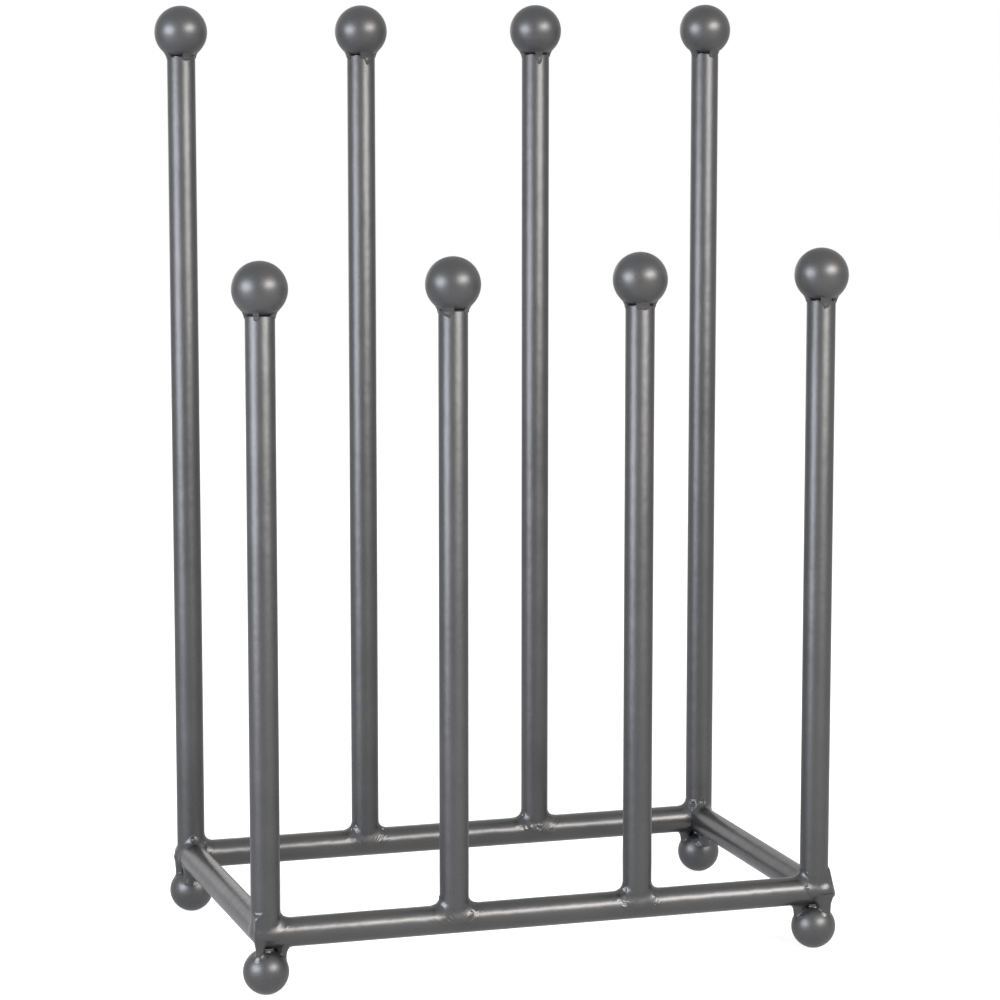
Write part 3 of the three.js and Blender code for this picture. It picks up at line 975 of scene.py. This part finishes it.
# %% Run the mitre seams
SEAM_COLUMNS = 128
SEAM_ROWS = 24
SEAM_HALF_WIDTH = 1.1 * MM
SEAM_HEIGHT = 0.12 * MM
SEAM_UNEVEN = 0.5
SEAM_GRAIN = 1.5 * MM


def add_mitre_seam(corner, seed):
    side_x = -1 if "left" in corner else 1
    side_y = -1 if "front" in corner else 1
    seam, column, height, outer = add_torus(SEAM_COLUMNS, SEAM_ROWS)
    turns = column * 2 * math.pi / SEAM_COLUMNS
    inset, climb = TUBE_RADIUS * np.cos(turns), TUBE_RADIUS * np.sin(turns)
    aside = SEAM_HALF_WIDTH * height
    inset_x = inset + np.maximum(aside, 0)
    inset_y = inset + np.maximum(-aside, 0)
    share = np.clip(0.5 + height * 2, 0, 1)
    out_x, out_y = np.cos(turns) * (1 - share), np.cos(turns) * share
    lift = np.sin(turns)
    size = np.sqrt(out_x**2 + out_y**2 + lift**2) + TINY
    place = np.stack([
        side_x * (HALF_WIDTH - inset_x),
        side_y * (HALF_DEPTH - inset_y),
        RAIL_HEIGHT + climb,
    ], axis=1)
    normal = np.stack([-side_x * out_x, -side_y * out_y, lift], axis=1) / size[:, None]
    uneven = 1 + SEAM_UNEVEN * lumps(place, SEAM_GRAIN, seed)
    bead = SEAM_HEIGHT * uneven * (1 - height**2) - TOE_SINK * height**2
    raised = np.where(outer, bead, -WELD_DEPTH * np.sqrt(np.maximum(1 - height**2, 0)) - TOE_SINK)
    seam.data.vertices.foreach_set("co", (place + normal * raised[:, None]).ravel())
    seam.data.update()
    sign_off(seam, corner + "_mitre_seam", weld_paint, "weld", corner + "_mitre_weld")


for corner in CORNERS:
    seed += 10
    add_mitre_seam(corner, seed)
print("mitre seams", len(CORNERS))

# %% [markdown]
# ## Tacks under the finials
# A ball is held by four short tacks, a quarter turn apart. Between them the edge of the tube and
# the ball leave a dark slit, with only the root of the weld deep inside it. One torus makes all
# four: its rows lie on the soft curve from tube to ball where a tack is, and draw back into the
# slit between the tacks. Each tack is oval, longest in its middle, as a short burst of the torch
# leaves it, and ends below in a small raised bead that catches the light. From some a drip has run
# down the tube. The turn and half width of the tack in front are written for each ball in degrees,
# and the turn in degrees and the length in millimetres for each drip.

# %% Tack the finials
FINIAL_TACKS = {
    "front": ((-117, 14), (-127, 28), (-98, 29), (-94, 24)),
    "back": ((-77, 23), (-83, 28), (-94, 18), (-72, 23)),
}
OTHER_TACK = 22
TACKS_PER_BALL = 4
TACK_COLUMNS = 240
TACK_BLEND = 3.6 * MM
TACK_EDGE = math.radians(4)
TACK_DROP = 3.0 * MM
TACK_CLIMB = 4.4 * MM
TACK_END_DROP = 0.35
TACK_END_CLIMB = 0.45
TACK_LUMP_HEIGHT = 0.14 * MM
TACK_LUMP_SIZE = 1.6 * MM
TACK_RING_OUT = 0.7 * MM
TACK_RING_UP = 0.5 * MM
DRIPS = {
    ("front", 2): (-128, 1.6),
    ("front", 4): (-92, 2.4),
    ("back", 2): (-75, 3.0),
    ("back", 3): (-90, 3.4),
}
DRIP_WIDTH = math.radians(13)
DRIP_HEIGHT = 0.30 * MM
TOE_BEAD_HEIGHT = 0.16 * MM
ROOT_RADIUS = 6.4 * MM
ROOT_HALF_HEIGHT = 0.42 * MM


def tack_shape(turns, first_turn, first_half):
    """Whether a tack or a slit is there, 1 or 0, and how full the tack is, from its middle to its ends."""
    cover = np.zeros_like(turns)
    fullness = np.zeros_like(turns)
    for number in range(TACKS_PER_BALL):
        half = first_half if number == 0 else math.radians(OTHER_TACK)
        aside = np.abs(turn_apart(turns, first_turn + number * 2 * math.pi / TACKS_PER_BALL))
        cover = np.maximum(cover, ease((half - aside) / TACK_EDGE))
        fullness = np.maximum(fullness, np.sqrt(np.clip(1 - (aside / half)**2, 0, 1)))
    return cover, fullness


def add_finial_weld(row, number, first_turn, first_half, seed):
    centre = middle(f"{row}_post_{number}")
    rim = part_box(f"{row}_post_{number}")[1].z
    ball_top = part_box(f"{row}_finial_{number}")[1].z
    ball_centre = (centre.x, centre.y, ball_top - FINIAL_RADIUS)

    def field(points):
        post = np.maximum(upright_gap(points, centre, TUBE_RADIUS), points[:, 2] - rim)
        return soft_minimum(post, ball_gap(points, ball_centre, FINIAL_RADIUS), TACK_BLEND)

    turns = np.arange(TACK_COLUMNS) * 2 * math.pi / TACK_COLUMNS
    cover, fullness = tack_shape(turns, first_turn, first_half)
    uneven = 1 + 0.12 * np.sin(turns * 7 + seed) + 0.10 * np.sin(turns * 13 + seed * 2)
    ring = ring_around(centre, TUBE_RADIUS + TACK_RING_OUT, rim + TACK_RING_UP, TACK_COLUMNS)
    drip_turn, drip_length = DRIPS.get((row, number), (0, 0))
    drip_aside = turn_apart(turns, math.radians(drip_turn))
    drip = np.exp(-(drip_aside / DRIP_WIDTH)**4) if drip_length else np.zeros_like(turns)
    drop = TACK_DROP * between(TACK_END_DROP, 1, fullness) * uneven + drip_length * MM * drip
    climb = TACK_CLIMB * between(TACK_END_CLIMB, 1, fullness)

    def relief(points, column, height):
        toe_bead = (TOE_BEAD_HEIGHT + DRIP_HEIGHT * drip[column]) * np.exp(-((height + 0.5) / 0.3)**2)
        return TACK_LUMP_HEIGHT * lumps(points, TACK_LUMP_SIZE, seed) + toe_bead

    weld = lay_weld(field, centre, ring, climb, drop, relief)
    places = np.array([vertex.co for vertex in weld.data.vertices])
    spare, column, height, outer = add_torus(TACK_COLUMNS, SKIN_ROWS)
    bpy.data.objects.remove(spare)
    root_radius = np.where(outer, ROOT_RADIUS, ROOT_RADIUS - WELD_DEPTH * np.sqrt(1 - height**2 + TINY))
    root = np.stack([
        centre.x + root_radius * np.cos(turns[column]),
        centre.y + root_radius * np.sin(turns[column]),
        rim + ROOT_HALF_HEIGHT * (0.6 + height),
    ], axis=1)
    drawn = between(root, places, cover[column][:, None])
    weld.data.vertices.foreach_set("co", drawn.ravel())
    weld.data.update()
    node = f"{row}_finial_weld_{number}"
    sign_off(weld, node + "_tacks", weld_paint, "weld", node)


for row, tacks in FINIAL_TACKS.items():
    for number, (turn, half) in enumerate(tacks, 1):
        seed += 10
        add_finial_weld(row, number, math.radians(turn), math.radians(half), seed)
print("finial welds", len(POSTS))

# %% [markdown]
# ## Tacks over the feet
# The webs are laid on the rods that were written above the welds of the uprights. A root of weld
# metal round the ball's hole closes the gap behind them, so no light shows through.

# %% Tack the feet
WEB_BLEND = 3.2 * MM
WEB_RISE = 7.5 * MM
WEB_REACH = 5.6 * MM
WEB_COLUMNS = 120
WEB_LUMP_HEIGHT = 0.12 * MM
WEB_LUMP_SIZE = 2.6 * MM
WEB_GRAIN_HEIGHT = 0.04 * MM
WEB_GRAIN_SIZE = 1.0 * MM
FOOT_ROOT_RADIUS = 4.7 * MM
FOOT_ROOT_LENGTH = 1.4 * MM
FOOT_ROOT_LIFT = 0.6 * MM
FOOT_ROOT_LUMP_HEIGHT = 0.15 * MM
FOOT_ROOT_LUMP_SIZE = 1.8 * MM


def web_field(corner, number):
    ball_centre = FOOT_CENTRES[corner]
    upper_field = post_weld_field(middle(corner.replace("_left", "_post_1").replace("_right", "_post_4")))

    def field(points):
        rod = rod_gap(points, *WEB_RODS[corner][number - 1])
        below = soft_minimum(rod, ball_gap(points, ball_centre, FOOT_RADIUS), WEB_BLEND)
        above = joined_with_web(points, upper_field(points), corner, number)
        return np.minimum(below, above)

    return field


def add_foot_web(corner, number, seed):
    ball_centre = FOOT_CENTRES[corner]
    low, high, radius = WEB_RODS[corner][number - 1]
    centre = (low + high) / 2

    def relief(points, column, height):
        coarse = WEB_LUMP_HEIGHT * lumps(points, WEB_LUMP_SIZE, seed)
        return coarse + WEB_GRAIN_HEIGHT * lumps(points, WEB_GRAIN_SIZE, seed + 3)

    inset = float(frame_inset(centre[0], centre[1]))
    low_offset = math.hypot(low[0] - ball_centre[0], low[1] - ball_centre[1])
    rail_side = RAIL_HEIGHT - math.sqrt(max(TUBE_RADIUS**2 - inset**2, 0))
    ball_side = ball_centre[2] + math.sqrt(FOOT_RADIUS**2 - low_offset**2)
    ring = ring_around(centre, radius, (rail_side + ball_side) / 2, WEB_COLUMNS)
    rise = np.full(WEB_COLUMNS, WEB_RISE)
    reach = np.full(WEB_COLUMNS, WEB_REACH)
    web = lay_weld(web_field(corner, number), centre, ring, rise, reach, relief)
    node = f"{corner}_foot_tack_{number}"
    sign_off(web, node + "_web", weld_paint, "weld", node)


def add_foot_root(corner, seed):
    ball_centre = FOOT_CENTRES[corner]

    def field(points):
        plug = upright_gap(points, ball_centre, FOOT_ROOT_RADIUS)
        below = soft_minimum(plug, ball_gap(points, ball_centre, FOOT_RADIUS), GROUND_BLEND)
        return np.minimum(below, soft_minimum(plug, frame_gap(points), GROUND_BLEND))

    def relief(points, column, height):
        return FOOT_ROOT_LUMP_HEIGHT * lumps(points, FOOT_ROOT_LUMP_SIZE, seed)

    ball_side = ball_centre[2] + math.sqrt(FOOT_RADIUS**2 - FOOT_ROOT_RADIUS**2)
    ring = ring_around(ball_centre, FOOT_ROOT_RADIUS, ball_side + FOOT_ROOT_LIFT, WEB_COLUMNS)
    length = np.full(WEB_COLUMNS, FOOT_ROOT_LENGTH)
    root = lay_weld(field, ball_centre, ring, length, length, relief)
    sign_off(root, corner + "_foot_root", weld_paint, "weld")


for corner in CORNERS:
    for number in (1, 2):
        seed += 10
        add_foot_web(corner, number, seed)
    add_foot_root(corner, seed + 5)
print("foot tacks", 2 * len(CORNERS))
